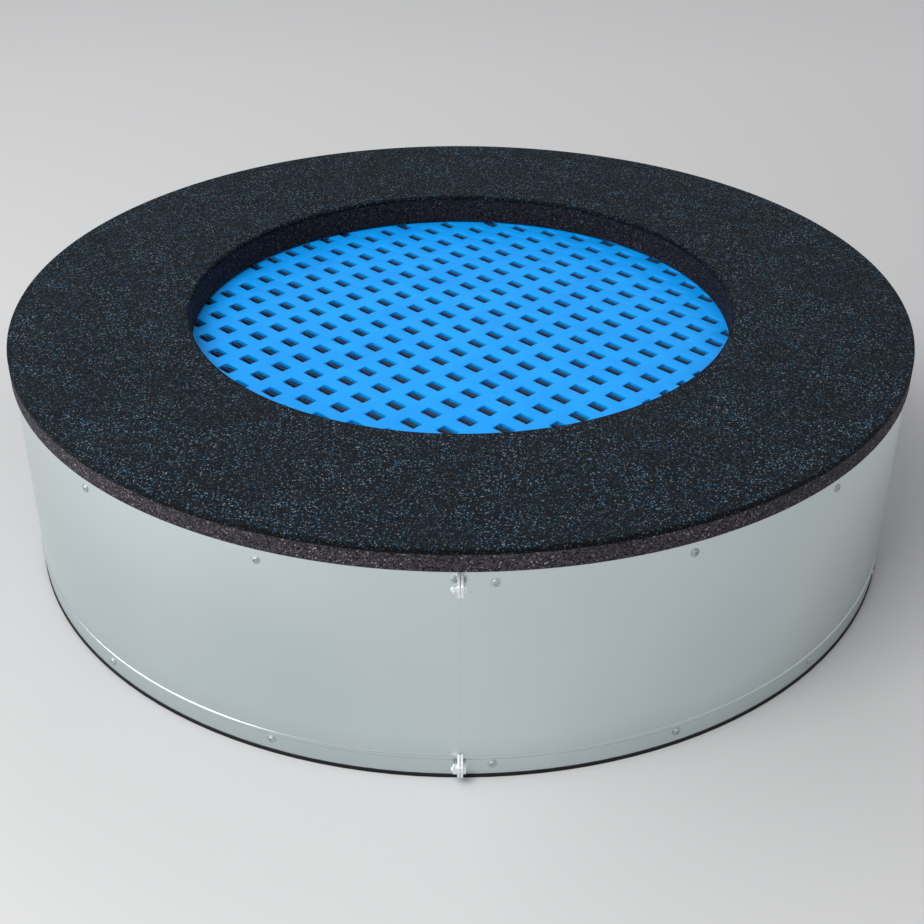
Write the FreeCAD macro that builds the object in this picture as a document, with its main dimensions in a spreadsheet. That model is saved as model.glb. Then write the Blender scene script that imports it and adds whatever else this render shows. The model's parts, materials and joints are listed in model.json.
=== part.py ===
import FreeCAD
import Part
import Sketcher
import math
import os

# A round playground trampoline in a low steel housing. A rubber safety ring covers the
# springs and leaves a round opening over a sprung mat, which is moulded round steel cables.
# The hoops, eyes, hooks and coils, which are hidden or repeat often, have few faces.
# Millimetres, +Z up, origin on the ground under the middle, the closing seam faces -Y.

FULL_TURN = 360.0
HALF_TURN = 180.0
REAR = 90.0
FRONT = -90.0
BAR_SIDES = 8
HEXAGON_SIDES = 6

DRIVING_SIZES = [
    ("ring_diameter", 1500.0, "outside of the rubber safety ring"),
    ("ring_opening", 916.0, "round opening that is jumped through"),
    ("ring_surface_thickness", 8.5, "flecked wear layer"),
    ("ring_base_thickness", 27.0, "black granulate layer under it"),
    ("ring_overhang", 4.0, "how far the ring stands out past the wall"),
    ("lip_width", 26.0, "turned-down lip round the opening"),
    ("lip_drop", 17.0, "how far the lip hangs below the underside"),
    ("lip_gap", 3.0, "air between the lip and the mat"),
    ("wall_height", 354.5, "sheet steel wall, from the foot strip to the ring"),
    ("housing_wall", 2.0, "thickness of that sheet"),
    ("seam_gap", 0.3, "slot between the two half shells"),
    ("strap_width", 40.0, "butt strap behind a seam"),
    ("strap_thickness", 2.0, "butt strap behind a seam"),
    ("bead_level", 37.0, "middle of the rolled bead above the ground"),
    ("bead_width", 8.0, "height of the bead"),
    ("bead_crest", 3.0, "flat part at the bead's crest"),
    ("bead_projection", 2.0, "how far the bead stands out"),
    ("foot_thickness", 5.5, "rubber foot strip under the steel"),
    ("foot_proud", 1.2, "how far the strip stands out past the wall"),
    ("fit_gap", 0.3, "clearance between nested round pieces"),
    ("base_bar_width", 32.0, "flat bar of the hoop under the posts"),
    ("base_bar_thickness", 5.0, "flat bar of the hoop under the posts"),
    ("spring_bar_width", 64.0, "flat bar of the hoop that the springs pull on"),
    ("spring_bar_thickness", 6.0, "flat bar of the hoop that the springs pull on"),
    ("deck_thickness", 3.0, "annular sheet that carries the ring"),
    ("post_width", 40.0, "channel post, along the wall"),
    ("post_depth", 25.0, "channel post, towards the middle"),
    ("post_wall", 2.5, "thickness of the channel"),
    ("right_first_post", 3.5, "degrees from the front seam, right shell"),
    ("right_post_step", 21.3, "degrees between posts, right shell"),
    ("left_first_post", 21.3, "degrees from the front seam, left shell"),
    ("left_post_step", 24.4, "degrees between posts, left shell"),
    ("arm_thickness", 6.0, "bracket plate under the deck"),
    ("arm_tip_depth", 8.0, "height of the bracket at its tip"),
    ("arm_root_depth", 56.0, "height of the bracket at the post"),
    ("arm_clearance", 6.0, "from the lip to the bracket's tip"),
    ("arm_step_gap", 2.0, "from the upper hoop to the bracket's step"),
    ("mat_thickness", 8.0, "moulded mat"),
    ("mat_overlap", 32.0, "how far the mat reaches under the ring"),
    ("rim_width", 8.0, "steel rim round the mat"),
    ("rim_height", 12.0, "steel rim round the mat"),
    ("hole_row_pitch", 43.9, "between holes in one row"),
    ("hole_row_spacing", 56.85, "between neighbouring rows"),
    ("hole_width", 20.5, "across the cable"),
    ("hole_length", 30.5, "along the cable"),
    ("hole_border", 6.0, "least plain margin inside the mat's edge"),
    ("hole_row_angle", 45.5, "degrees from X to a row of holes"),
    ("first_hole_x", 32.8, "a hole's centre"),
    ("first_hole_y", 19.4, "a hole's centre"),
    ("cable_diameter", 5.0, "steel cable moulded into the mat"),
    ("cable_depth", 3.6, "from the mat's top to the cable's axis"),
    ("eye_thickness", 4.0, "spring eye plates"),
    ("eye_hole", 6.0, "square hole for a spring's hook"),
    ("eye_length", 18.0, "rim eye, from the rim outwards"),
    ("anchor_length", 20.0, "anchor eye along the spring"),
    ("anchor_inset", 4.0, "from the hoop's edge to the anchor"),
    ("anchor_below", 8.0, "anchor plate below the spring's axis"),
    ("spring_wire", 3.0, "hook wire"),
    ("hook_play", 1.0, "between an eye plate and the hook's legs"),
    ("spring_diameter", 16.0, "outside of the coil"),
    ("coil_clearance", 5.0, "from an eye plate to the coil"),
    ("springs_per_bay", 3, "springs between two brackets"),
    ("lug_gap", 1.0, "between the two ears of a seam"),
    ("lug_reach", 20.0, "closing ear, outwards from the wall"),
    ("lug_thickness", 3.5, "closing ear"),
    ("lug_height", 34.0, "closing ear at the wall"),
    ("lug_tip_height", 18.0, "closing ear at its outer edge"),
    ("low_lug_rise", 3.5, "from the wall's foot up to the lower ears"),
    ("high_lug_drop", 4.0, "from the ring down to the upper ears"),
    ("bolt_reach", 11.0, "closing bolt, outwards from the wall"),
    ("bolt_diameter", 8.0, "closing bolt"),
    ("bolt_hole", 8.6, "hole in an ear"),
    ("bolt_head_across", 13.0, "hexagon across flats"),
    ("bolt_head_height", 4.5, "closing bolt"),
    ("nut_height", 6.5, "closing nut"),
    ("bolt_beyond_nut", 2.5, "thread past the nut"),
    ("thread_gap", 0.03, "between the nut's bore and the bolt"),
]

# Places that follow from the driving sizes. Each row is an alias and its formula.
WORKED_OUT = [
    ("ground", "0"),
    ("ring_outer", "ring_diameter / 2"),
    ("ring_inner", "ring_opening / 2"),
    ("ring_underside", "foot_thickness + wall_height"),
    ("lip_outer", "ring_inner + lip_width"),
    ("lip_underside", "ring_underside - lip_drop"),
    ("ring_joint_level", "ring_underside + ring_base_thickness"),
    ("ring_top", "ring_joint_level + ring_surface_thickness"),
    ("wall_outer", "ring_outer - ring_overhang"),
    ("wall_inner", "wall_outer - housing_wall"),
    ("bead_outer", "wall_outer + bead_projection"),
    ("bead_foot", "bead_level - bead_width / 2"),
    ("bead_head", "bead_level + bead_width / 2"),
    ("crest_foot", "bead_level - bead_crest / 2"),
    ("crest_head", "bead_level + bead_crest / 2"),
    ("shell_angle", "180 - seam_gap / wall_outer * 180 / pi"),
    ("frame_outer", "wall_inner - fit_gap"),
    ("base_bar_inner", "frame_outer - base_bar_width"),
    ("base_bar_top", "foot_thickness + base_bar_thickness"),
    ("foot_outer", "wall_outer + foot_proud"),
    ("deck_underside", "ring_underside - deck_thickness"),
    ("deck_inner", "lip_outer + fit_gap"),
    ("spring_bar_inner", "frame_outer - spring_bar_width"),
    ("spring_bar_underside", "deck_underside - spring_bar_thickness"),
    ("mat_top", "lip_underside - lip_gap"),
    ("mat_radius", "ring_inner + mat_overlap"),
    ("rim_inner", "mat_radius + fit_gap"),
    ("rim_outer", "rim_inner + rim_width"),
    ("rim_underside", "mat_top - rim_height"),
    ("spring_level", "mat_top - rim_height / 2"),
    ("cable_level", "mat_top - cable_depth"),
    ("low_lug_level", "foot_thickness + low_lug_rise"),
    ("high_lug_level", "ring_underside - high_lug_drop - lug_height"),
    ("lug_seat", "wall_outer + fit_gap"),
    ("strap_inner", "frame_outer - strap_thickness"),
    ("strap_foot", "base_bar_top + fit_gap"),
    ("strap_head", "spring_bar_underside - fit_gap"),
    ("strap_angle", "strap_width / frame_outer * 180 / pi"),
]

doc = FreeCAD.newDocument("round_trampoline")
sheet = doc.addObject("Spreadsheet::Sheet", "Sizes")


def fill_sheet():
    row = 1
    for alias, value, note in DRIVING_SIZES:
        sheet.set(f"A{row}", alias)
        sheet.set(f"B{row}", str(value))
        sheet.setAlias(f"B{row}", alias)
        sheet.set(f"C{row}", note)
        row += 1
    for alias, formula in WORKED_OUT:
        sheet.set(f"A{row}", alias)
        sheet.set(f"B{row}", f"={formula}")
        sheet.setAlias(f"B{row}", alias)
        row += 1
    doc.recompute()


def size(alias):
    return float(sheet.get(alias))


def origin_plane(body, role):
    for feature in body.Origin.OriginFeatures:
        if feature.Role == role:
            return feature
    raise ValueError(role)


def outline_sketch(body, role, corners):
    """A closed outline on one of the body's planes, each corner tied to two cells of the sheet."""
    sketch = body.newObject("Sketcher::SketchObject", body.Name + "_outline")
    sketch.AttachmentSupport = [(origin_plane(body, role), "")]
    sketch.MapMode = "FlatFace"
    points = [FreeCAD.Vector(size(across), size(up), 0) for across, up in corners]
    count = len(points)
    for index in range(count):
        line = Part.LineSegment(points[index], points[(index + 1) % count])
        sketch.addGeometry(line, False)
    for index in range(count):
        following = (index + 1) % count
        sketch.addConstraint(Sketcher.Constraint("Coincident", index, 2, following, 1))
    for index, (across, up) in enumerate(corners):
        for kind, alias in (("DistanceX", across), ("DistanceY", up)):
            place = sketch.addConstraint(
                Sketcher.Constraint(kind, -1, 1, index, 1, size(alias))
            )
            sketch.setExpression(f"Constraints[{place}]", f"Sizes.{alias}")
    return sketch


def turned_body(name, corners, angle_alias=None, heading=0.0):
    """A profile revolved about the vertical axis, fully or by an angle centred on a heading."""
    body = doc.addObject("PartDesign::Body", name)
    body.Label = name
    sketch = outline_sketch(body, "XZ_Plane", corners)
    turn = body.newObject("PartDesign::Revolution", name + "_turn")
    turn.Profile = sketch
    turn.ReferenceAxis = (sketch, ["V_Axis"])
    turn.Angle = FULL_TURN
    if angle_alias:
        turn.Midplane = True
        turn.Angle = size(angle_alias)
        turn.setExpression("Angle", f"Sizes.{angle_alias}")
    sketch.Visibility = False
    body.Placement = FreeCAD.Placement(
        FreeCAD.Vector(0, 0, 0), FreeCAD.Rotation(FreeCAD.Vector(0, 0, 1), heading)
    )
    doc.recompute()
    return body


def at_heading(degrees):
    return FreeCAD.Placement(
        FreeCAD.Vector(0, 0, 0), FreeCAD.Rotation(FreeCAD.Vector(0, 0, 1), degrees)
    )


def block(x_low, x_high, half_width, z_low, z_high):
    """A box along +X, centred on the XZ plane."""
    return Part.makeBox(
        x_high - x_low,
        2 * half_width,
        z_high - z_low,
        FreeCAD.Vector(x_low, -half_width, z_low),
    )


def plate(points, thickness):
    """A flat plate in the XZ plane, centred on it, from its outline's corners."""
    corners = [FreeCAD.Vector(x, -thickness / 2, z) for x, z in points]
    face = Part.Face(Part.makePolygon(corners + corners[:1]))
    return face.extrude(FreeCAD.Vector(0, thickness, 0))


def few_sided_bar(diameter, length, start, direction):
    """An octagonal bar for a small round piece that repeats often."""
    radius = diameter / 2
    turn = FreeCAD.Rotation(FreeCAD.Vector(0, 0, 1), direction)
    corners = []
    for number in range(BAR_SIDES):
        angle = 2 * math.pi * (number + 0.5) / BAR_SIDES
        spoke = FreeCAD.Vector(radius * math.cos(angle), radius * math.sin(angle), 0)
        corners.append(start + turn.multVec(spoke))
    face = Part.Face(Part.makePolygon(corners + corners[:1]))
    return face.extrude(FreeCAD.Vector(direction) * length)


def group(name, solids):
    """Identical pieces under one name, each a solid of its own."""
    feature = doc.addObject("Part::Feature", name)
    feature.Label = name
    feature.Shape = Part.makeCompound(solids)
    feature.Placement = FreeCAD.Placement()
    return feature


def copies(name, master, headings):
    """One piece repeated round the vertical axis."""
    solids = []
    for degrees in headings:
        piece = master.copy()
        piece.Placement = at_heading(degrees).multiply(piece.Placement)
        solids.append(piece)
    return group(name, solids)


def make_safety_ring():
    surface = turned_body(
        "ring_surface",
        [
            ("ring_inner", "ring_joint_level"),
            ("ring_outer", "ring_joint_level"),
            ("ring_outer", "ring_top"),
            ("ring_inner", "ring_top"),
        ],
    )
    base = turned_body(
        "ring_base",
        [
            ("ring_inner", "lip_underside"),
            ("lip_outer", "lip_underside"),
            ("lip_outer", "ring_underside"),
            ("ring_outer", "ring_underside"),
            ("ring_outer", "ring_joint_level"),
            ("ring_inner", "ring_joint_level"),
        ],
    )
    return [surface, base]


SHELL_PROFILE = [
    ("wall_inner", "foot_thickness"),
    ("wall_outer", "foot_thickness"),
    ("wall_outer", "bead_foot"),
    ("bead_outer", "crest_foot"),
    ("bead_outer", "crest_head"),
    ("wall_outer", "bead_head"),
    ("wall_outer", "ring_underside"),
    ("wall_inner", "ring_underside"),
]


def make_housing():
    right = turned_body("shell_right", SHELL_PROFILE, "shell_angle", 0.0)
    left = turned_body("shell_left", SHELL_PROFILE, "shell_angle", HALF_TURN)
    foot = turned_body(
        "foot_strip",
        [
            ("base_bar_inner", "ground"),
            ("foot_outer", "ground"),
            ("foot_outer", "foot_thickness"),
            ("base_bar_inner", "foot_thickness"),
        ],
    )
    strap = [
        ("strap_inner", "strap_foot"),
        ("frame_outer", "strap_foot"),
        ("frame_outer", "strap_head"),
        ("strap_inner", "strap_head"),
    ]
    front = turned_body("seam_strap_front", strap, "strap_angle", FRONT)
    rear = turned_body("seam_strap_rear", strap, "strap_angle", REAR)
    return [right, left, foot, front, rear]


def make_deck():
    deck = turned_body(
        "deck_plate",
        [
            ("deck_inner", "deck_underside"),
            ("frame_outer", "deck_underside"),
            ("frame_outer", "ring_underside"),
            ("deck_inner", "ring_underside"),
        ],
    )
    return [deck]


def post_headings():
    """Posts stand at the wall's screws, which each half shell spaces in its own way."""
    headings = []
    for side, sign in (("right", 1), ("left", -1)):
        offset = size(f"{side}_first_post")
        while offset < HALF_TURN:
            headings.append(FRONT + sign * offset)
            offset += size(f"{side}_post_step")
    return sorted(headings)


def many_sided_disc(radius, low, high):
    """A disc with a corner at the heading of every post."""
    corners = []
    for degrees in post_headings():
        angle = math.radians(degrees)
        corners.append(FreeCAD.Vector(radius * math.cos(angle), radius * math.sin(angle), low))
    face = Part.Face(Part.makePolygon(corners + corners[:1]))
    return face.extrude(FreeCAD.Vector(0, 0, high - low))


def mitred_hoop(name, inner, low, high):
    """A hoop welded from straight lengths of flat bar, mitred where the posts are."""
    disc = many_sided_disc(size("frame_outer"), size(low), size(high))
    return group(name, [disc.cut(many_sided_disc(size(inner), size(low), size(high)))])


def make_frame_hoops():
    bottom = mitred_hoop("bottom_hoop", "base_bar_inner", "foot_thickness", "base_bar_top")
    top = mitred_hoop(
        "top_hoop", "spring_bar_inner", "spring_bar_underside", "deck_underside"
    )
    return [bottom, top]


def post_web_outer():
    """Flat face of a post, set in so that its corners clear the round wall."""
    return math.sqrt(size("frame_outer") ** 2 - (size("post_width") / 2) ** 2)


def make_posts():
    outer = post_web_outer()
    wall = size("post_wall")
    foot = size("base_bar_top")
    head = size("spring_bar_underside")
    half = size("post_width") / 2
    depth = size("post_depth")
    channel = block(outer - depth, outer, half, foot, head)
    hollow = block(outer - depth, outer - wall, half - wall, foot, head)
    return [copies("posts", channel.cut(hollow), post_headings())]


def arm_headings():
    return post_headings()[::2]


def make_arms():
    root = post_web_outer() - size("post_wall")
    tip = size("lip_outer") + size("arm_clearance")
    deck = size("deck_underside")
    bar = size("spring_bar_underside")
    step = size("spring_bar_inner") - size("arm_step_gap")
    outline = [
        (tip, deck),
        (tip, deck - size("arm_tip_depth")),
        (root - size("post_depth"), deck - size("arm_root_depth")),
        (root, deck - size("arm_root_depth")),
        (root, bar),
        (step, bar),
        (step, deck),
    ]
    return [copies("deck_arms", plate(outline, size("arm_thickness")), arm_headings())]


def spring_headings():
    """An equal number of springs in each bay between two brackets."""
    arms = arm_headings()
    per_bay = int(size("springs_per_bay"))
    headings = []
    for index, start in enumerate(arms):
        end = arms[(index + 1) % len(arms)]
        if end <= start:
            end += FULL_TURN
        for number in range(per_bay):
            share = (number + 0.5) / per_bay
            headings.append(start + share * (end - start))
    return headings


def rim_eye_hole():
    """Low and high radius of the hole in a rim eye."""
    middle = size("rim_outer") + size("eye_length") / 2
    return middle - size("eye_hole") / 2, middle + size("eye_hole") / 2


def anchor_start():
    return size("spring_bar_inner") + size("anchor_inset")


def anchor_hole():
    """Low and high radius of the hole in an anchor."""
    middle = anchor_start() + size("anchor_length") / 2
    return middle - size("eye_hole") / 2, middle + size("eye_hole") / 2


def eye_plate(x_low, x_high, z_low, z_high, hole):
    half_hole = size("eye_hole") / 2
    level = size("spring_level")
    half = size("eye_thickness") / 2
    body = block(x_low, x_high, half, z_low, z_high)
    opening = block(hole[0], hole[1], half, level - half_hole, level + half_hole)
    return body.cut(opening)


def make_eyes():
    eye = eye_plate(
        size("rim_outer"),
        size("rim_outer") + size("eye_length"),
        size("rim_underside"),
        size("mat_top"),
        rim_eye_hole(),
    )
    start = anchor_start()
    anchor = eye_plate(
        start,
        start + size("anchor_length"),
        size("spring_level") - size("anchor_below"),
        size("spring_bar_underside"),
        anchor_hole(),
    )
    headings = spring_headings()
    return [copies("rim_eyes", eye, headings), copies("spring_anchors", anchor, headings)]


def coil_span():
    """Low and high radius of a spring's close-wound body."""
    low = size("rim_outer") + size("eye_length") + size("coil_clearance")
    high = anchor_start() - size("coil_clearance")
    return low, high


def hook_solid(crook, root):
    """A bent wire that lies level: a leg beside the eye plate and a bar through its hole."""
    wire = size("spring_wire")
    inside = size("eye_thickness") / 2 + size("hook_play")
    outside = inside + wire
    bar = crook + math.copysign(wire, root - crook)
    corners = [
        (crook, -outside),
        (root, -outside),
        (root, -inside),
        (bar, -inside),
        (bar, outside),
        (crook, outside),
    ]
    low = size("spring_level") - wire / 2
    points = [FreeCAD.Vector(x, y, low) for x, y in corners]
    face = Part.Face(Part.makePolygon(points + points[:1]))
    return face.extrude(FreeCAD.Vector(0, 0, wire))


def make_spring():
    """A close-wound spring, its coil drawn as a plain few-sided bar."""
    low, high = coil_span()
    gap = size("fit_gap")
    inner = hook_solid(rim_eye_hole()[1] - gap - size("spring_wire"), low)
    outer = hook_solid(anchor_hole()[0] + gap + size("spring_wire"), high)
    middle = FreeCAD.Vector(low, 0, size("spring_level"))
    coil = few_sided_bar(size("spring_diameter"), high - low, middle, FreeCAD.Vector(1, 0, 0))
    return coil.fuse([inner, outer]).removeSplitter()


SPRING_SIDES = [
    ("springs_rear", REAR),
    ("springs_left", HALF_TURN),
    ("springs_front", FRONT),
    ("springs_right", 0.0),
]


def turn_between(first, second):
    """The smaller angle between two headings."""
    return abs((first - second + HALF_TURN) % FULL_TURN - HALF_TURN)


def make_springs():
    """The springs, named by the side of the trampoline that they are on."""
    spring = make_spring()
    sides = {name: [] for name, _ in SPRING_SIDES}
    for heading in spring_headings():
        nearest, _ = min(SPRING_SIDES, key=lambda side: turn_between(heading, side[1]))
        sides[nearest].append(heading)
    return [copies(name, spring, headings) for name, headings in sides.items()]


def hole_centres():
    """Staggered rows of holes, kept where a hole and its margin lie inside the mat."""
    pitch = size("hole_row_pitch")
    spacing = size("hole_row_spacing")
    angle = math.radians(size("hole_row_angle"))
    along = (math.cos(angle), math.sin(angle))
    across = (-math.sin(angle), math.cos(angle))
    corner = math.hypot(size("hole_width"), size("hole_length")) / 2
    reach = size("mat_radius") - corner - size("hole_border")
    count = int(2 * size("mat_radius") / min(pitch, spacing))
    centres = []
    for row in range(-count, count + 1):
        shift = pitch / 2 if row % 2 else 0.0
        for column in range(-count, count + 1):
            step = column * pitch + shift
            x = size("first_hole_x") + step * along[0] + row * spacing * across[0]
            y = size("first_hole_y") + step * along[1] + row * spacing * across[1]
            if math.hypot(x, y) < reach:
                centres.append((x, y))
    return centres


def make_mat():
    top = size("mat_top")
    thickness = size("mat_thickness")
    half_width = size("hole_width") / 2
    half_length = size("hole_length") / 2
    disc = doc.addObject("Part::Cylinder", "mat_disc")
    disc.setExpression("Radius", "Sizes.mat_radius")
    disc.setExpression("Height", "Sizes.mat_thickness")
    disc.Placement.Base = FreeCAD.Vector(0, 0, top - thickness)
    cutters = []
    for x, y in hole_centres():
        cutter = Part.makeBox(
            2 * half_width,
            2 * half_length,
            thickness,
            FreeCAD.Vector(-half_width, -half_length, top - thickness),
        )
        cutter.Placement = FreeCAD.Placement(
            FreeCAD.Vector(x, y, 0),
            FreeCAD.Rotation(FreeCAD.Vector(0, 0, 1), size("hole_row_angle")),
        )
        cutters.append(cutter)
    holes = doc.addObject("Part::Feature", "mat_hole_tools")
    holes.Shape = Part.makeCompound(cutters)
    mat = doc.addObject("Part::Cut", "jump_mat")
    mat.Label = "jump_mat"
    mat.Base = disc
    mat.Tool = holes
    rim = turned_body(
        "mat_rim",
        [
            ("rim_inner", "rim_underside"),
            ("rim_outer", "rim_underside"),
            ("rim_outer", "mat_top"),
            ("rim_inner", "mat_top"),
        ],
    )
    return [mat, rim, make_cables()]


def make_cables():
    """Straight cables, square to the rows, one through every hole and every web between."""
    angle = math.radians(size("hole_row_angle"))
    spacing = size("hole_row_pitch") / 2
    start = size("first_hole_x") * math.cos(angle) + size("first_hole_y") * math.sin(angle)
    radius = size("cable_diameter") / 2
    reach = size("mat_radius")
    count = int(2 * reach / spacing)
    solids = []
    for number in range(-count, count + 1):
        offset = start + number * spacing
        edge = abs(offset) + radius
        if edge >= reach - size("hole_border"):
            continue
        half = math.sqrt(reach**2 - edge**2)
        cable = Part.makeBox(
            2 * radius,
            2 * half,
            2 * radius,
            FreeCAD.Vector(offset - radius, -half, size("cable_level") - radius),
        )
        cable.Placement = FreeCAD.Placement(
            FreeCAD.Vector(0, 0, 0),
            FreeCAD.Rotation(FreeCAD.Vector(0, 0, 1), size("hole_row_angle")),
        )
        solids.append(cable)
    return group("mat_cables", solids)


def seam_places():
    """Front and rear seams, each with a low and a high pair of ears."""
    levels = (size("low_lug_level"), size("high_lug_level"))
    return [(heading, level) for heading in (FRONT, REAR) for level in levels]


def ear_outside():
    """From the middle of a seam to the outer face of an ear."""
    return size("lug_gap") / 2 + size("lug_thickness")


def lug_solid(level, side):
    """An ear welded to the edge of a half shell, on the seam at +X, notched round the bead."""
    seat = size("lug_seat")
    out = seat + size("lug_reach")
    height = size("lug_height")
    thickness = size("lug_thickness")
    shoulder = (height - size("lug_tip_height")) / 2
    ear = plate(
        [
            (seat, level),
            (out, level + shoulder),
            (out, level + height - shoulder),
            (seat, level + height),
        ],
        thickness,
    )
    gap = size("fit_gap")
    clear = size("bead_outer") + gap
    bead = block(seat - gap, clear, thickness, size("bead_foot") - gap, size("bead_head") + gap)
    hole = few_sided_bar(
        size("bolt_hole"),
        2 * thickness,
        bolt_middle(level) - FreeCAD.Vector(0, thickness, 0),
        FreeCAD.Vector(0, 1, 0),
    )
    ear = ear.cut(bead).cut(hole)
    ear.translate(FreeCAD.Vector(0, side * (ear_outside() - thickness / 2), 0))
    return ear


def bolt_middle(level):
    out = size("lug_seat") + size("bolt_reach")
    return FreeCAD.Vector(out, 0, level + size("lug_height") / 2)


def hexagon(across, height, base, direction):
    """A hexagonal prism along Y from its width across flats."""
    radius = across / 2 / math.cos(math.pi / HEXAGON_SIDES)
    corners = []
    for number in range(HEXAGON_SIDES):
        turn = 2 * math.pi * number / HEXAGON_SIDES
        corners.append(
            FreeCAD.Vector(
                base.x + radius * math.cos(turn), base.y, base.z + radius * math.sin(turn)
            )
        )
    face = Part.Face(Part.makePolygon(corners + corners[:1]))
    return face.extrude(FreeCAD.Vector(0, direction * height, 0))


def bolt_solid(level):
    """A hexagon bolt across the seam, its head on the ear at the side of +Y."""
    middle = bolt_middle(level)
    side = ear_outside()
    tail = side + size("nut_height") + size("bolt_beyond_nut")
    across = size("bolt_head_across")
    seat = middle + FreeCAD.Vector(0, side, 0)
    head = hexagon(across, size("bolt_head_height"), seat, 1)
    shank = few_sided_bar(
        size("bolt_diameter"),
        tail + side,
        middle - FreeCAD.Vector(0, tail, 0),
        FreeCAD.Vector(0, 1, 0),
    )
    return head.fuse(shank)


def nut_solid(level):
    middle = bolt_middle(level)
    side = ear_outside()
    seat = middle - FreeCAD.Vector(0, side, 0)
    nut = hexagon(size("bolt_head_across"), size("nut_height"), seat, -1)
    hole = few_sided_bar(
        size("bolt_diameter") + 2 * size("thread_gap"),
        3 * size("nut_height"),
        seat - FreeCAD.Vector(0, 2 * size("nut_height"), 0),
        FreeCAD.Vector(0, 1, 0),
    )
    return nut.cut(hole)


def make_seam_hardware():
    """The head of every bolt is on the right shell's side at the front, the left's at the rear."""
    sets = {"lugs_right": [], "lugs_left": [], "seam_bolts": [], "seam_nuts": []}
    for heading, level in seam_places():
        turn = at_heading(heading)
        right = 1 if heading == FRONT else -1
        made = [
            ("lugs_right", lug_solid(level, right)),
            ("lugs_left", lug_solid(level, -right)),
            ("seam_bolts", bolt_solid(level)),
            ("seam_nuts", nut_solid(level)),
        ]
        for name, solid in made:
            solid.Placement = turn.multiply(solid.Placement)
            sets[name].append(solid)
    return [group(name, solids) for name, solids in sets.items()]


def check_and_export(pieces):
    doc.recompute()
    for feature in doc.Objects:
        if "Invalid" in feature.State or "Error" in feature.State:
            raise RuntimeError(f"{feature.Label} failed: {feature.State}")
    for piece in pieces:
        shape = piece.Shape
        if shape.isNull() or not shape.isValid() or not shape.Solids:
            raise RuntimeError(f"{piece.Label} has no sound shape")
    os.makedirs("parts", exist_ok=True)
    for piece in pieces:
        piece.Shape.exportStep(f"parts/{piece.Label}.step")
        print(f"{piece.Label}: {len(piece.Shape.Solids)} solids")


fill_sheet()

pieces = []
pieces += make_safety_ring()
pieces += make_housing()
pieces += make_deck()
pieces += make_frame_hoops()
pieces += make_posts()
pieces += make_arms()
pieces += make_eyes()
pieces += make_springs()
pieces += make_mat()
pieces += make_seam_hardware()
check_and_export(pieces)
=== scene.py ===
import json
import math

import bpy
import bmesh
from mathutils import Matrix, Vector
from mathutils.geometry import delaunay_2d_cdt


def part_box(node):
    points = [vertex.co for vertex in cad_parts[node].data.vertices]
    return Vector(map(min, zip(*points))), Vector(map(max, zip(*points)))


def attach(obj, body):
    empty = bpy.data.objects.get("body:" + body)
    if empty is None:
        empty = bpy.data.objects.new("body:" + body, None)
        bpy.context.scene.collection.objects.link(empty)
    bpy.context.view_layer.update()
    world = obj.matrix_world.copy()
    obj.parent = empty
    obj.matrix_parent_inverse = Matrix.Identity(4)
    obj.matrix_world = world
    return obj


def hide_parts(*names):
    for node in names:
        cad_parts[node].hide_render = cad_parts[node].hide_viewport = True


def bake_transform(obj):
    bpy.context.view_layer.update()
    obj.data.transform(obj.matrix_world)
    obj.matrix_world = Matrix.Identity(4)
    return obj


# A round playground trampoline: flecked rubber ring, bright steel housing, blue perforated
# mat on springs. Metres, +Z up, the closing seam faces -Y.

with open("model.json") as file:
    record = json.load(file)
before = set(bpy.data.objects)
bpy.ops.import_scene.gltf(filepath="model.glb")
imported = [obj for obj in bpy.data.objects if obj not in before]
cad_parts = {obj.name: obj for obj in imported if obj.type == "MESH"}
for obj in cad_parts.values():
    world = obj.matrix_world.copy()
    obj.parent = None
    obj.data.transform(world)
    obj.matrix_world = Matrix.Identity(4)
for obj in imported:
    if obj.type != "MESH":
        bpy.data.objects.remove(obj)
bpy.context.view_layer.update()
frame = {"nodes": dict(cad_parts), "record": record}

MM = 0.001
HOUSING = "housing"
MAT_BODY = "mat"

# The camera of the photograph: focal length in pixels of the 924 pixel frame.
FRAME_PIXELS = 924
FOCAL_PIXELS = 1457.0
SENSOR = 36.0
CAMERA_BACK = 2.2637
CAMERA_UP = 1.4647
CAMERA_PITCH = 0.55474
CAMERA_YAW = -0.00111
CAMERA_ROLL = -0.00237

# Lamps: name, place, point that it faces, size in metres, watts.
LAMPS = [
    ("key", (-1.7, -2.3, 4.1), (0, 0, 0.2), (2.4, 2.4), 142),
    ("side", (-3.05, -1.25, 1.05), (-0.4, -0.6, 0.05), (2.9, 0.8), 34),
]
SKY_COLOUR = (0.975, 0.98, 1.0, 1.0)
SKY_STRENGTH = 0.6
FLOOR_HALF = 30.0

# How finely round pieces are divided.
RING_SEGMENTS = 288
SHELL_SEGMENTS = 160
MAT_SEGMENTS = 240
HEAD_SIDES = 24
BOLT_SIDES = 48
CABLE_SIDES = 14
WIRE_SIDES = 6
SHARP_ANGLE = math.radians(32)

# Headings are degrees from +X. Posts: the first one's angle from the front seam, then a step.
FRONT = -90.0
POSTS_RIGHT = (3.5, 21.3)
POSTS_LEFT = (21.3, 24.4)
SCREW_LEVEL_TOP = 340 * MM
SCREW_LEVEL_LOW = 24 * MM
SCREW_SEAT = 0.1 * MM

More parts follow.
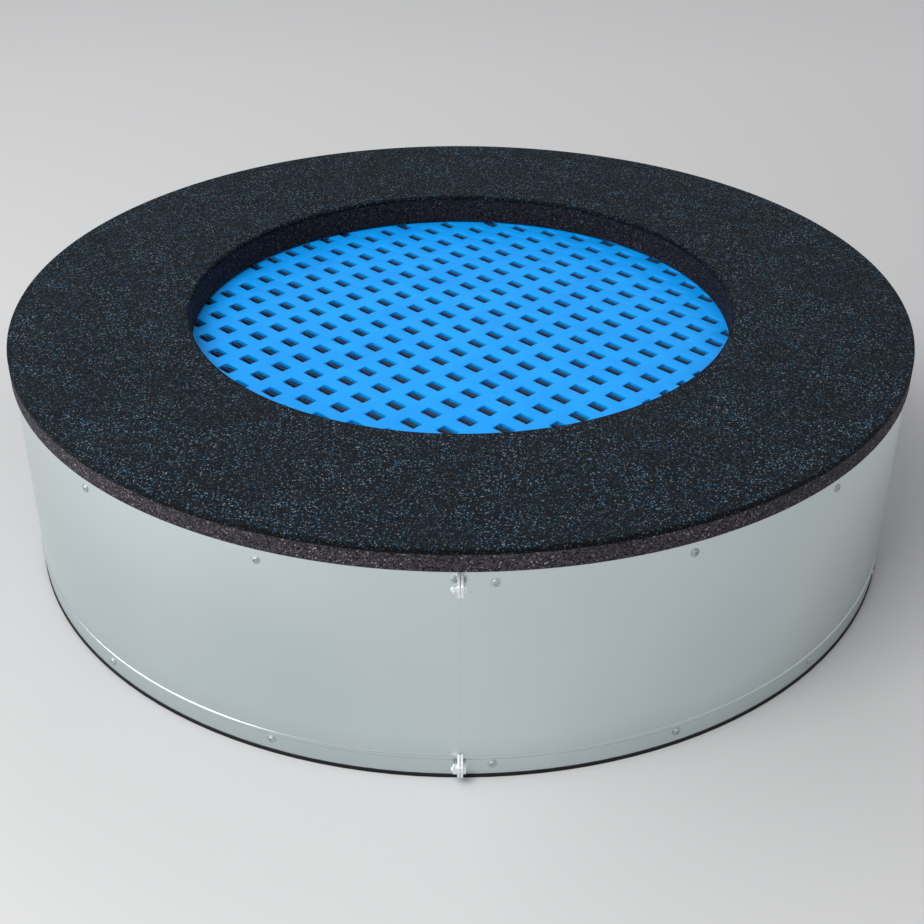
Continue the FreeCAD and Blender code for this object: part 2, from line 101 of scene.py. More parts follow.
# Closing ears on the seams, with a bolt and a nut through each pair.
EAR_SEAT = 746.1 * MM
EAR_OUT = 766.3 * MM
EAR_HEIGHT = 34 * MM
EAR_SHOULDER = 8 * MM
EAR_CORNER = 3 * MM
EAR_EDGE = 0.35 * MM
EAR_CLEARANCE = 0.3 * MM
EAR_NEAR = 0.5 * MM
EAR_THICK = 3.5 * MM
EAR_LOW = 9 * MM
EAR_HIGH = 322 * MM
BOLT_OUT = 757.3 * MM
BOLT_ACROSS = 13 * MM
BOLT_RADIUS = 4 * MM
BOLT_HEAD = 4.5 * MM
BOLT_BEYOND = 2.5 * MM
NUT_HEIGHT = 6.5 * MM
THREAD_PITCH = 1.25 * MM
THREAD_DEPTH = 0.45 * MM
THREAD_GAP = 0.03 * MM
HEXAGON_CHAMFER = 0.8 * MM
CROWN_RADIUS = 3.4 * MM
# A limit so wide that the hexagon keeps its corners.
UNCUT = 1.0

# The mat's lattice of holes, and the cables moulded across its rows.
HOLE_PITCH = 43.9 * MM
HOLE_SPACING = 56.85 * MM
HOLE_WIDTH = 20.5 * MM
HOLE_LENGTH = 30.5 * MM
HOLE_ANGLE = math.radians(45.5)
FIRST_HOLE = (32.8 * MM, 19.4 * MM)
HOLE_BORDER = 6 * MM
HOLE_CORNER = 2.2 * MM
# The mat's edges are eased by this much; the flat faces stop short of the holes by a bit less.
MAT_EASE = 1.0 * MM
HOLE_ROUNDING = 0.9 * MM
CABLE_RADIUS = 2.5 * MM
CABLE_DEPTH = 3.6 * MM

# Springs: distances from the middle of the trampoline, and the wire and coil.
SPRINGS_PER_BAY = 3
SPRING_LEVEL = 334 * MM
WIRE_RADIUS = 1.5 * MM
COIL_OUTSIDE = 8 * MM
COIL_START = 521.3 * MM
COIL_END = 678.7 * MM
COIL_TURNS = 47
COIL_STEPS = 10
HOOK_IN_RIM = 508.5 * MM
HOOK_IN_ANCHOR = 692.5 * MM

# A screw head's profile, radius and height in millimetres: flange, dome and socket.
SCREW_PROFILE = [
    (7.0, 0.0),
    (7.0, 0.63),
    (6.7, 0.84),
    (5.2, 0.84),
    (5.0, 1.33),
    (4.4, 1.89),
    (3.4, 2.31),
    (2.4, 2.52),
    (2.3, 1.12),
]
SPRING_SIDES = {
    "springs_rear": 90.0,
    "springs_left": 180.0,
    "springs_front": -90.0,
    "springs_right": 0.0,
}


def linear(red, green, blue):
    """A colour as a screen shows it, 0 to 255, as linear light."""
    channels = []
    for value in (red, green, blue):
        share = value / 255
        if share <= 0.04045:
            channels.append(share / 12.92)
        else:
            channels.append(((share + 0.055) / 1.055) ** 2.4)
    return (*channels, 1.0)


class Nodes:
    """A short way to write a material's node tree."""

    def __init__(self, name):
        self.material = bpy.data.materials.new(name)
        self.material.use_nodes = True
        self.tree = self.material.node_tree
        self.shader = self.tree.nodes["Principled BSDF"]
        self.place = self.add("ShaderNodeTexCoord").outputs["Object"]

    def add(self, kind, **settings):
        node = self.tree.nodes.new(kind)
        for key, value in settings.items():
            setattr(node, key, value)
        return node

    def link(self, source, target):
        self.tree.links.new(source, target)

    def noise(self, scale, detail=3.0, roughness=0.55, stretch=None):
        node = self.add("ShaderNodeTexNoise")
        node.inputs["Scale"].default_value = scale
        node.inputs["Detail"].default_value = detail
        node.inputs["Roughness"].default_value = roughness
        self.link(self.stretched(stretch), node.inputs["Vector"])
        return node.outputs["Fac"]

    def stretched(self, stretch):
        if stretch is None:
            return self.place
        mapping = self.add("ShaderNodeMapping")
        mapping.inputs["Scale"].default_value = stretch
        self.link(self.place, mapping.inputs["Vector"])
        return mapping.outputs["Vector"]

    def cells(self, scale):
        node = self.add("ShaderNodeTexVoronoi")
        node.inputs["Scale"].default_value = scale
        self.link(self.place, node.inputs["Vector"])
        return node

    def ramp(self, source, stops, interpolation="LINEAR"):
        """Colours that follow the source; each stop is a place and its colour."""
        node = self.add("ShaderNodeValToRGB")
        node.color_ramp.interpolation = interpolation
        elements = node.color_ramp.elements
        while len(elements) > 1:
            elements.remove(elements[-1])
        elements[0].position = stops[0][0]
        elements[0].color = stops[0][1]
        for position, colour in stops[1:]:
            elements.new(position).color = colour
        self.link(source, node.inputs["Fac"])
        return node.outputs["Color"]

    def math(self, operation, first, second):
        node = self.add("ShaderNodeMath", operation=operation)
        for socket, value in zip(node.inputs, (first, second)):
            if isinstance(value, (int, float)):
                socket.default_value = value
            else:
                self.link(value, socket)
        return node.outputs["Value"]

    def span(self, source, low, high, start=0.0, end=1.0):
        """A value that goes from low to high while the source goes from start to end."""
        node = self.add("ShaderNodeMapRange")
        self.link(source, node.inputs["Value"])
        node.inputs["From Min"].default_value = start
        node.inputs["From Max"].default_value = end
        node.inputs["To Min"].default_value = low
        node.inputs["To Max"].default_value = high
        return node.outputs["Result"]

    def mix(self, share, first, second, blend="MIX"):
        node = self.add("ShaderNodeMix", data_type="RGBA", blend_type=blend)
        colour_sockets = (node.inputs[0], node.inputs[6], node.inputs[7])
        for socket, value in zip(colour_sockets, (share, first, second)):
            if isinstance(value, (int, float, tuple)):
                socket.default_value = value
            else:
                self.link(value, socket)
        return node.outputs[2]

    def bump(self, height, strength, distance, before=None):
        node = self.add("ShaderNodeBump")
        node.inputs["Strength"].default_value = strength
        node.inputs["Distance"].default_value = distance
        self.link(height, node.inputs["Height"])
        if before:
            self.link(before, node.inputs["Normal"])
        return node.outputs["Normal"]

    def finish(self, colour, roughness, normal=None, **constants):
        self.link(colour, self.shader.inputs["Base Color"])
        if isinstance(roughness, float):
            self.shader.inputs["Roughness"].default_value = roughness
        else:
            self.link(roughness, self.shader.inputs["Roughness"])
        if normal:
            self.link(normal, self.shader.inputs["Normal"])
        for key, value in constants.items():
            self.shader.inputs[key.replace("_", " ")].default_value = value
        return self.material


def granulate(name, crumb, dark, light, flecks, painted_shade_and_band):
    """Bonded rubber crumb: small cells of slightly different greys, a few of them coloured.

    The flecks lie denser in some patches. Each fleck is a place in the ramp and its colour.
    The painted shade and band are pairs of a radius and a brightness that darken the rubber by
    radius: painted shade on the inner wall round the hole, and, where given, a darker band in the
    rubber's own colour.
    """
    nodes = Nodes(name)
    cell = nodes.cells(1 / crumb)
    pick = nodes.add("ShaderNodeSeparateColor")
    nodes.link(cell.outputs["Color"], pick.inputs["Color"])
    colour = nodes.ramp(pick.outputs["Red"], [(0.0, dark), (1.0, light)])
    fleck = nodes.ramp(pick.outputs["Green"], [(0.0, dark), *flecks], "CONSTANT")
    is_fleck = nodes.ramp(
        pick.outputs["Green"], [(0.0, (0, 0, 0, 1)), (flecks[0][0], (1, 1, 1, 1))], "CONSTANT"
    )
    patch = nodes.ramp(nodes.noise(16.0, 3.0), [(0.36, (0.45, 0.45, 0.45, 1)), (0.6, (1, 1, 1, 1))])
    is_fleck = nodes.mix(1.0, is_fleck, patch, "MULTIPLY")
    colour = nodes.mix(is_fleck, colour, fleck)
    shade = nodes.span(nodes.noise(9.0, 4.0), 0.8, 1.2)
    colour = nodes.mix(1.0, colour, shade, "MULTIPLY")
    # Painted shade: the colour is darkened by radius on the inner wall round the hole.
    radius = nodes.add("ShaderNodeVectorMath", operation="LENGTH")
    nodes.link(nodes.stretched((1, 1, 0)), radius.inputs[0])
    stops = [(place, (share, share, share, 1)) for place, share in painted_shade_and_band]
    colour = nodes.mix(1.0, colour, nodes.ramp(radius.outputs["Value"], stops), "MULTIPLY")
    rough = nodes.span(pick.outputs["Blue"], 0.6, 0.95)
    grain = nodes.bump(cell.outputs["Distance"], 0.5, 1.0 * MM)
    fine = nodes.bump(nodes.noise(900.0, 2.0), 0.3, 0.4 * MM, grain)
    return nodes.finish(colour, rough, fine, Specular_IOR_Level=0.08)


def sheet_steel(name):
    """Bright rolled sheet: cloudy patches, a faint rolling grain, and painted shade that darkens it
    near the ground.
    """
    nodes = Nodes(name)
    clouds = nodes.noise(2.6, 3.0)
    grain = nodes.noise(1.0, 2.0, 0.5, (3.0, 3.0, 70.0))
    tone = nodes.ramp(clouds, [(0.3, linear(203, 214, 216)), (0.7, linear(211, 221, 223))])
    worn = nodes.ramp(grain, [(0.3, (0.995, 0.995, 0.995, 1)), (0.7, (1, 1, 1, 1))])
    colour = nodes.mix(1.0, tone, worn, "MULTIPLY")
    axes = nodes.add("ShaderNodeSeparateXYZ")
    nodes.link(nodes.place, axes.inputs["Vector"])
    # Painted shade: the sheet is darkened by up to a tenth towards the ground.
    painted_ground_shade = nodes.span(axes.outputs["Z"], 0.9, 1.0, 25 * MM, 75 * MM)
    colour = nodes.mix(1.0, colour, painted_ground_shade, "MULTIPLY")
    rough = nodes.math("ADD", nodes.span(grain, 0.252, 0.258), nodes.span(clouds, -0.02, 0.03))
    return nodes.finish(colour, rough, Metallic=1.0)


def galvanised(name, tone):
    """Zinc with its spangle."""
    nodes = Nodes(name)
    spangle = nodes.cells(140.0)
    pick = nodes.add("ShaderNodeSeparateColor")
    nodes.link(spangle.outputs["Color"], pick.inputs["Color"])
    dull = tuple(0.72 * value for value in tone[:3]) + (1.0,)
    colour = nodes.ramp(pick.outputs["Red"], [(0.0, dull), (1.0, tone)])
    rough = nodes.span(pick.outputs["Green"], 0.36, 0.55)
    normal = nodes.bump(nodes.noise(260.0), 0.1, 0.2 * MM)
    return nodes.finish(colour, rough, normal, Metallic=1.0)


def bright_zinc(name):
    """Bright plating with faint blotches."""
    nodes = Nodes(name)
    blotch = nodes.noise(160.0, 4.0)
    colour = nodes.ramp(blotch, [(0.35, linear(226, 230, 236)), (0.65, linear(246, 248, 250))])
    rough = nodes.span(blotch, 0.22, 0.36)
    normal = nodes.bump(nodes.noise(700.0), 0.08, 0.1 * MM)
    return nodes.finish(colour, rough, normal, Metallic=0.75)


def moulded_blue(name):
    """The mat's plastic: an even blue with a fine satin grain and a little wear."""
    nodes = Nodes(name)
    clouds = nodes.noise(14.0, 4.0)
    colour = nodes.ramp(clouds, [(0.3, linear(5, 152, 242)), (0.7, linear(12, 162, 252))])
    rough = nodes.span(nodes.noise(60.0, 4.0), 0.45, 0.6)
    normal = nodes.bump(nodes.noise(1100.0, 2.0), 0.2, 0.15 * MM)
    return nodes.finish(colour, rough, normal, Specular_IOR_Level=0.25)


def plain_rubber(name, tone):
    """Dark rubber, a little paler in places."""
    nodes = Nodes(name)
    clouds = nodes.noise(70.0, 4.0)
    pale = tuple(1.6 * value for value in tone[:3]) + (1.0,)
    colour = nodes.ramp(clouds, [(0.35, tone), (0.7, pale)])
    rough = nodes.span(clouds, 0.6, 0.85)
    normal = nodes.bump(nodes.noise(500.0), 0.25, 0.3 * MM)
    return nodes.finish(colour, rough, normal, Specular_IOR_Level=0.3)


def stranded_steel(name):
    """Cable strands: diagonal ribs along the cable, which lies at an angle to X."""
    nodes = Nodes(name)
    turned = nodes.add("ShaderNodeMapping")
    turned.inputs["Rotation"].default_value = (0, 0, -HOLE_ANGLE)
    nodes.link(nodes.place, turned.inputs["Vector"])
    wave = nodes.add("ShaderNodeTexWave", bands_direction="DIAGONAL")
    wave.inputs["Scale"].default_value = 330.0
    wave.inputs["Distortion"].default_value = 0.4
    nodes.link(turned.outputs["Vector"], wave.inputs["Vector"])
    # The strands are a dark navy as painted shade inside the mat's holes, with lighter ribs.
    colour = nodes.ramp(
        wave.outputs["Fac"], [(0.1, linear(6, 14, 28)), (0.7, linear(44, 68, 96))]
    )
    normal = nodes.bump(wave.outputs["Fac"], 0.6, 0.5 * MM)
    return nodes.finish(colour, 0.5, normal, Metallic=0.35, Specular_IOR_Level=0.3)


def arc_corner(before, corner, after, radius, steps):
    """Points that round one corner of an outline."""
    if radius <= 0:
        return [corner]
    into = (Vector(before) - Vector(corner)).normalized()
    out = (Vector(after) - Vector(corner)).normalized()
    angle = into.angle(out)
    reach = radius / math.tan(angle / 2)
    middle = Vector(corner) + (into + out).normalized() * (radius / math.sin(angle / 2))
    start = Vector(corner) + into * reach - middle
    end = Vector(corner) + out * reach - middle
    points = []
    for step in range(steps + 1):
        share = step / steps
        spoke = (start * (1 - share) + end * share).normalized() * radius
        points.append(tuple(middle + spoke))
    return points


def rounded(corners, steps=4):
    """An outline from corners given as (across, up, radius)."""
    points = []
    count = len(corners)
    for index, (across, up, radius) in enumerate(corners):
        before = corners[index - 1][:2]
        after = corners[(index + 1) % count][:2]
        points += arc_corner(before, (across, up), after, radius, steps)
    return points


def mesh_object(name, vertices, faces, material, smooth=True):
    mesh = bpy.data.meshes.new(name)
    mesh.from_pydata(vertices, [], faces)
    mesh.validate()
    bm = bmesh.new()
    bm.from_mesh(mesh)
    bmesh.ops.recalc_face_normals(bm, faces=bm.faces)
    bm.to_mesh(mesh)
    bm.free()
    mesh.materials.append(material)
    obj = bpy.data.objects.new(name, mesh)
    bpy.context.scene.collection.objects.link(obj)
    if smooth:
        mesh.shade_smooth()
        mesh.set_sharp_from_angle(angle=SHARP_ANGLE)
    return obj


def lathe(name, outline, material, start=0.0, end=360.0, segments=RING_SEGMENTS):
    """A closed outline turned about the vertical axis, fully or from one heading to another."""
    whole = end - start >= 360.0
    rows = segments if whole else segments + 1
    count = len(outline)
    vertices = []
    for row in range(rows):
        angle = math.radians(start + (end - start) * row / segments)
        for across, up in outline:
            vertices.append((across * math.cos(angle), across * math.sin(angle), up))
    faces = []
    for row in range(segments):
        following = (row + 1) % rows
        for index in range(count):
            after = (index + 1) % count
            faces.append(
                (
                    row * count + index,
                    following * count + index,
                    following * count + after,
                    row * count + after,
                )
            )
    if not whole:
        faces.append(tuple(range(count)))
        faces.append(tuple((rows - 1) * count + index for index in range(count)))
    return mesh_object(name, vertices, faces, material)


def place(obj, body, slot, *replaced):
    """A piece joins its body, and takes the place of CAD nodes."""
    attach(obj, body)
    if replaced:
        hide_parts(*replaced)


FLECKED = granulate(
    "flecked_rubber",
    1.7 * MM,
    linear(5, 8, 11),
    linear(33, 37, 42),
    [
        (0.885, linear(50, 76, 92)),
        (0.915, linear(40, 104, 142)),
        (0.935, linear(84, 96, 106)),
        (0.962, linear(56, 112, 150)),
        (0.974, linear(118, 130, 140)),
    ],
    # Radius stops: painted shade on the inner wall, and the wear layer's darker outer side in its
    # own colour.
    [(0.459, 0.3), (0.464, 1.0), (0.7465, 1.0), (0.7495, 0.4)],
)
GRANULATE = granulate(
    "black_granulate",
    2.0 * MM,
    linear(16, 14, 18),
    linear(76, 72, 79),
    [(0.93, linear(108, 102, 110)), (0.975, linear(146, 142, 146))],
    # Radius stops: painted shade on the inner wall and the lip beneath it.
    [(0.47, 0.35), (0.5, 1.0)],
)
STEEL = sheet_steel("bright_sheet")
SCREW = galvanised("screw_zinc", linear(196, 204, 206))
ZINC = bright_zinc("bright_zinc")
GALVANISED = galvanised("galvanised_frame", linear(180, 184, 188))
SPRING = galvanised("spring_wire", linear(206, 208, 210))
BLUE = moulded_blue("moulded_blue")
FOOT = plain_rubber("foot_rubber", linear(10, 10, 14))
CABLE = stranded_steel("stranded_cable")


def low(node):
    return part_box(node)[0]


def high(node):
    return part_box(node)[1]


# Where the ring, the wall and the mat lie, partly read from the CAD nodes.
RING_OUTER = 750 * MM
RING_INNER = 458 * MM
RING_TOP = high("ring_surface").z
RING_JOINT = low("ring_surface").z
LIP_UNDERSIDE = low("ring_base").z
LIP_OUTER = 484 * MM
RING_UNDERSIDE = high("deck_plate").z
WALL_OUTER = 746 * MM
WALL_INNER = 744 * MM
WALL_FOOT = low("shell_left").z
SEAM_HALF = 0.04 * MM
BEAD_LEVEL = 37 * MM
BEAD_RISE = 1.7 * MM
BEAD_HALF = 4 * MM
BEAD_RADIUS = 5.6 * MM
MAT_TOP = high("jump_mat").z
MAT_UNDERSIDE = low("jump_mat").z
MAT_RADIUS = 490 * MM


def make_ring():
    top = rounded(
        [
            (RING_INNER, RING_JOINT, 0),
            (RING_OUTER, RING_JOINT, 0),
            (RING_OUTER, RING_TOP, 3 * MM),
            (RING_INNER, RING_TOP, 4 * MM),
        ]
    )
    place(lathe("ring_wear_layer", top, FLECKED), HOUSING, "flecked_rubber", "ring_surface")
    base = rounded(
        [
            (RING_INNER, LIP_UNDERSIDE, 2 * MM),
            (LIP_OUTER, LIP_UNDERSIDE, 2 * MM),
            (LIP_OUTER, RING_UNDERSIDE, 0),
            (RING_OUTER, RING_UNDERSIDE, 1 * MM),
            (RING_OUTER, RING_JOINT, 0),
            (RING_INNER, RING_JOINT, 0),
        ]
    )
    place(lathe("ring_granulate_base", base, GRANULATE), HOUSING, "black_rubber", "ring_base")


def bead_outline():
    """The wall's section: straight sheet with one rolled bead and a small rolled top edge."""
    steps = 12
    rolled_edge = [(0.0, 3.0), (0.5, 2.7), (1.0, 1.8), (1.0, 0.8), (0.4, 0.0)]
    arc = []
    for step in range(steps + 1):
        up = BEAD_HALF * (2 * step / steps - 1)
        rise = math.sqrt(BEAD_RADIUS**2 - up**2) - BEAD_RADIUS + BEAD_RISE
        arc.append((max(rise, 0.0), BEAD_LEVEL + up))
    right = [(WALL_OUTER, WALL_FOOT)]
    right += [(WALL_OUTER + rise, level) for rise, level in arc]
    for outward, below in rolled_edge:
        right.append((WALL_OUTER + outward * MM, RING_UNDERSIDE - below * MM))
    left = [(WALL_INNER, RING_UNDERSIDE)]
    left += [(WALL_INNER + rise, level) for rise, level in reversed(arc)]
    left.append((WALL_INNER, WALL_FOOT))
    return right + left


def make_housing():
    """Two half shells that meet at the front and at the rear."""
    half_seam = math.degrees(SEAM_HALF / WALL_OUTER)
    section = bead_outline()
    halves = [("wall_right", "shell_right", 0.0), ("wall_left", "shell_left", 180.0)]
    for name, node, middle in halves:
        start = middle - 90 + half_seam
        end = middle + 90 - half_seam
        shell = lathe(name, section, STEEL, start, end, SHELL_SEGMENTS)
        place(shell, HOUSING, "bright_sheet", node)


def skin(bm, rows, closed=False):
    """Faces between rows of points; a closed skin joins its last row to its first."""
    pairs = list(zip(rows, rows[1:]))
    if closed:
        pairs.append((rows[-1], rows[0]))
    for first, second in pairs:
        count = len(first)
        for side in range(count):
            after = (side + 1) % count
            bm.faces.new((first[side], first[after], second[after], second[side]))
    if not closed:
        bm.faces.new(list(reversed(rows[0])))
        bm.faces.new(rows[-1])


def turned_head(bm, centre, outward, profile):
    """A small turned piece on a surface, from its profile of radius and height."""
    turn = outward.to_track_quat("Z", "Y").to_matrix()
    rows = []
    for across, up in profile:
        row = []
        for side in range(HEAD_SIDES):
            angle = 2 * math.pi * side / HEAD_SIDES
            spot = Vector((across * math.cos(angle), across * math.sin(angle), up))
            row.append(bm.verts.new(centre + turn @ spot))
        rows.append(row)
    skin(bm, rows)


def bmesh_object(name, bm, material):
    mesh = bpy.data.meshes.new(name)
    bmesh.ops.recalc_face_normals(bm, faces=bm.faces)
    bm.to_mesh(mesh)
    bm.free()
    mesh.materials.append(material)
    obj = bpy.data.objects.new(name, mesh)
    bpy.context.scene.collection.objects.link(obj)
    mesh.shade_smooth()
    mesh.set_sharp_from_angle(angle=SHARP_ANGLE)
    return obj


def post_headings():
    """Headings of the posts, which each half shell spaces in its own way."""
    headings = []
    for sign, (first, step) in ((1, POSTS_RIGHT), (-1, POSTS_LEFT)):
        offset = first
        while offset < 180.0:
            headings.append(FRONT + sign * offset)
            offset += step
    return headings


def make_wall_screws():
    """Flanged button heads with a socket, two on every post."""
    profile = [(across * MM, up * MM) for across, up in SCREW_PROFILE]
    bm = bmesh.new()
    for heading in post_headings():
        angle = math.radians(heading)
        outward = Vector((math.cos(angle), math.sin(angle), 0))
        for level in (SCREW_LEVEL_TOP, SCREW_LEVEL_LOW):
            spot = outward * (WALL_OUTER - SCREW_SEAT) + Vector((0, 0, level))
            turned_head(bm, spot, outward, profile)
    place(bmesh_object("wall_screws", bm, SCREW), HOUSING, "zinc_hardware")


def hex_radius(across, angle):
    """Distance from a hexagon's middle to its edge, with a corner at angle zero."""
    part = angle % (math.pi / 3) - math.pi / 6
    return across / 2 / math.cos(part)


def hexagon_rows(bm, middle, stations):
    """Rows of points along Y for a bolt or a nut; each station is a place and its section.

    A section is a circle's radius, or ("hex", limit) for the hexagon cut back to a circle.
    """
    rows = []
    for along, section in stations:
        row = []
        for side in range(BOLT_SIDES):
            angle = 2 * math.pi * side / BOLT_SIDES
            radius = section
            if isinstance(section, tuple):
                radius = min(hex_radius(BOLT_ACROSS, angle), section[1])
            spot = Vector((radius * math.cos(angle), along, radius * math.sin(angle)))
            row.append(bm.verts.new(middle + spot))
        rows.append(row)
    return rows


def add_piece(target, piece):
    """One mesh is added to another and freed."""
    copied = bpy.data.meshes.new("piece")
    piece.to_mesh(copied)
    piece.free()
    target.from_mesh(copied)
    bpy.data.meshes.remove(copied)


def closing_ear(bm, level, side):
    """A flat ear with rounded corners, notched where the bead passes."""
    outline = [
        (EAR_SEAT, level, 0),
        (EAR_OUT, level + EAR_SHOULDER, EAR_CORNER),
        (EAR_OUT, level + EAR_HEIGHT - EAR_SHOULDER, EAR_CORNER),
        (EAR_SEAT, level + EAR_HEIGHT, 0),
    ]
    notch_low = BEAD_LEVEL - BEAD_HALF - EAR_CLEARANCE
    notch_high = BEAD_LEVEL + BEAD_HALF + EAR_CLEARANCE
    if level < notch_low:
        notch_out = WALL_OUTER + BEAD_RISE + EAR_CLEARANCE
        outline += [
            (EAR_SEAT, notch_high, 0),
            (notch_out, notch_high, 0),
            (notch_out, notch_low, 0),
            (EAR_SEAT, notch_low, 0),
        ]
    points = rounded(outline, 5)
    near = side * EAR_NEAR
    far = side * (EAR_NEAR + EAR_THICK)
    piece = bmesh.new()
    rows = [[piece.verts.new((x, y, z)) for x, z in points] for y in (near, far)]
    skin(piece, rows)
    bmesh.ops.bevel(
        piece,
        geom=list(piece.edges),
        offset=EAR_EDGE,
        segments=2,
        affect="EDGES",
        clamp_overlap=True,
    )
    add_piece(bm, piece)


def bolt_stations(outside):
    """A bolt from its crown, through both ears and the nut, to its threaded end."""
    crown = outside + BOLT_HEAD
    nut_face = -outside - NUT_HEIGHT
    end = nut_face - BOLT_BEYOND
    stations = [
        (crown, CROWN_RADIUS),
        (crown, ("hex", 6.1 * MM)),
        (crown - HEXAGON_CHAMFER, ("hex", UNCUT)),
        (outside, ("hex", UNCUT)),
        (outside, BOLT_RADIUS),
        (nut_face, BOLT_RADIUS),
    ]
    tail = nut_face
    while tail > end + THREAD_PITCH:
        stations.append((tail - 0.2 * THREAD_PITCH, BOLT_RADIUS))
        stations.append((tail - 0.6 * THREAD_PITCH, BOLT_RADIUS - THREAD_DEPTH))
        tail -= THREAD_PITCH
    stations.append((end + 0.3 * MM, BOLT_RADIUS - 0.1 * MM))
    stations.append((end, BOLT_RADIUS - 0.6 * MM))
    return stations


def nut_stations(outside):
    """A nut's outside from its inner face to its outer face, and back along its bore."""
    inner = -outside
    outer = inner - NUT_HEIGHT
    bore = BOLT_RADIUS + THREAD_GAP
    lead = 0.5 * MM
    return [
        (inner, bore),
        (inner, ("hex", 6.4 * MM)),
        (inner - HEXAGON_CHAMFER, ("hex", UNCUT)),
        (outer + HEXAGON_CHAMFER, ("hex", UNCUT)),
        (outer, ("hex", 6.2 * MM)),
        (outer, bore + lead),
        (outer + lead, bore),
    ]


def make_seam_hardware():
    """Two pairs of ears on each seam, drawn together by a bolt with its nut."""
    ears, bolts, nuts = bmesh.new(), bmesh.new(), bmesh.new()
    outside = EAR_NEAR + EAR_THICK
    for heading in (FRONT, -FRONT):
        turn = Matrix.Rotation(math.radians(heading), 4, "Z")
        for level in (EAR_LOW, EAR_HIGH):
            middle = Vector((BOLT_OUT, 0, level + EAR_HEIGHT / 2))
            pair, bolt, nut = bmesh.new(), bmesh.new(), bmesh.new()
            closing_ear(pair, level, 1)
            closing_ear(pair, level, -1)
            skin(bolt, hexagon_rows(bolt, middle, bolt_stations(outside)))
            skin(nut, hexagon_rows(nut, middle, nut_stations(outside)), closed=True)
            for target, piece in ((ears, pair), (bolts, bolt), (nuts, nut)):
                piece.transform(turn)
                add_piece(target, piece)
    slot = "zinc_hardware"
    place(bmesh_object("closing_ears", ears, ZINC), HOUSING, slot, "lugs_left", "lugs_right")
    place(bmesh_object("closing_bolts", bolts, ZINC), HOUSING, slot, "seam_bolts")
    place(bmesh_object("closing_nuts", nuts, ZINC), HOUSING, slot, "seam_nuts")


def hole_centres():
    """Middles of the holes: rows at an angle, every second row shifted by half a pitch."""
    along = Vector((math.cos(HOLE_ANGLE), math.sin(HOLE_ANGLE)))
    across = Vector((-math.sin(HOLE_ANGLE), math.cos(HOLE_ANGLE)))
    reach = MAT_RADIUS - math.hypot(HOLE_WIDTH, HOLE_LENGTH) / 2 - HOLE_BORDER
    count = int(2 * MAT_RADIUS / HOLE_PITCH)
    centres = []
    for row in range(-count, count + 1):
        shift = HOLE_PITCH / 2 if row % 2 else 0.0
        for column in range(-count, count + 1):
            spot = (
                Vector(FIRST_HOLE)
                + along * (column * HOLE_PITCH + shift)
                + across * (row * HOLE_SPACING)
            )
            if spot.length < reach:
                centres.append(spot)
    return centres


def hole_outline(centre, grow):
    """A hole's outline with rounded corners, larger by the given amount all round."""
    half_w = HOLE_WIDTH / 2 + grow
    half_l = HOLE_LENGTH / 2 + grow
    radius = HOLE_CORNER + grow
    corners = [(-half_w, -half_l), (half_w, -half_l), (half_w, half_l), (-half_w, half_l)]
    points = rounded([(*corner, radius) for corner in corners], 3)
    turn = Matrix.Rotation(HOLE_ANGLE, 2)
    return [turn @ Vector(point) + centre for point in points]


def make_mat():
    """The perforated plate: flat faces between outlines, rounded rims and straight hole walls."""
    rim_steps = 3
    triangles_inside = 2
    same_point = 1e-9
    centres = hole_centres()
    vertices = []
    faces = []

    def ring(points, level):
        start = len(vertices)
        vertices.extend((point[0], point[1], level) for point in points)
        return list(range(start, start + len(points)))

    def strip(first, second):
        count = len(first)
        for index in range(count):
            after = (index + 1) % count
            faces.append((first[index], first[after], second[after], second[index]))

    circle = []
    for step in range(MAT_SEGMENTS):
        angle = 2 * math.pi * step / MAT_SEGMENTS
        circle.append(Vector((math.cos(angle), math.sin(angle))))

    def eased_rings(shape):
        """Rings of one outline from the top face over its rounded edges to the bottom face."""
        rings = []
        for step in range(rim_steps + 1):
            angle = math.pi / 2 * step / rim_steps
            grow = MAT_EASE * (1 - math.sin(angle))
            rings.append((grow, MAT_TOP - MAT_EASE * (1 - math.cos(angle))))
        rings += [(grow, MAT_TOP + MAT_UNDERSIDE - level) for grow, level in reversed(rings)]
        made = [ring(shape(grow), level) for grow, level in rings]
        for first, second in zip(made, made[1:]):
            strip(first, second)
        return made[0], made[-1]

    tops = []
    bottoms = []
    outer = eased_rings(lambda grow: [point * (MAT_RADIUS - grow) for point in circle])
    tops.append(outer[0])
    bottoms.append(outer[1])
    for centre in centres:
        top, bottom = eased_rings(lambda grow, middle=centre: hole_outline(middle, grow))
        tops.append(top)
        bottoms.append(bottom)
    for rings in (tops, bottoms):
        flat = []
        edges = []
        origin = []
        for members in rings:
            start = len(flat)
            for index, vertex in enumerate(members):
                flat.append(Vector(vertices[vertex][:2]))
                origin.append(vertex)
                edges.append((start + index, start + (index + 1) % len(members)))
        filled = delaunay_2d_cdt(flat, edges, [], triangles_inside, same_point)
        spots, _, triangles, came_from, _, _ = filled
        for triangle in triangles:
            middle = sum((spots[index] for index in triangle), Vector((0, 0))) / len(triangle)
            if inside_hole(middle, centres):
                continue
            faces.append(tuple(origin[came_from[index][0]] for index in triangle))
    mat = mesh_object("jumping_mat", vertices, faces, BLUE)
    place(mat, MAT_BODY, "blue_mat", "jump_mat")


def inside_hole(spot, centres):
    """Whether a point of a flat face lies in a hole or over its rounded rim."""
    turn = Matrix.Rotation(-HOLE_ANGLE, 2)
    half_w = HOLE_WIDTH / 2 + HOLE_ROUNDING
    half_l = HOLE_LENGTH / 2 + HOLE_ROUNDING
    for centre in centres:
        local = turn @ (spot - centre)
        if abs(local.x) < half_w and abs(local.y) < half_l:
            return True
    return False


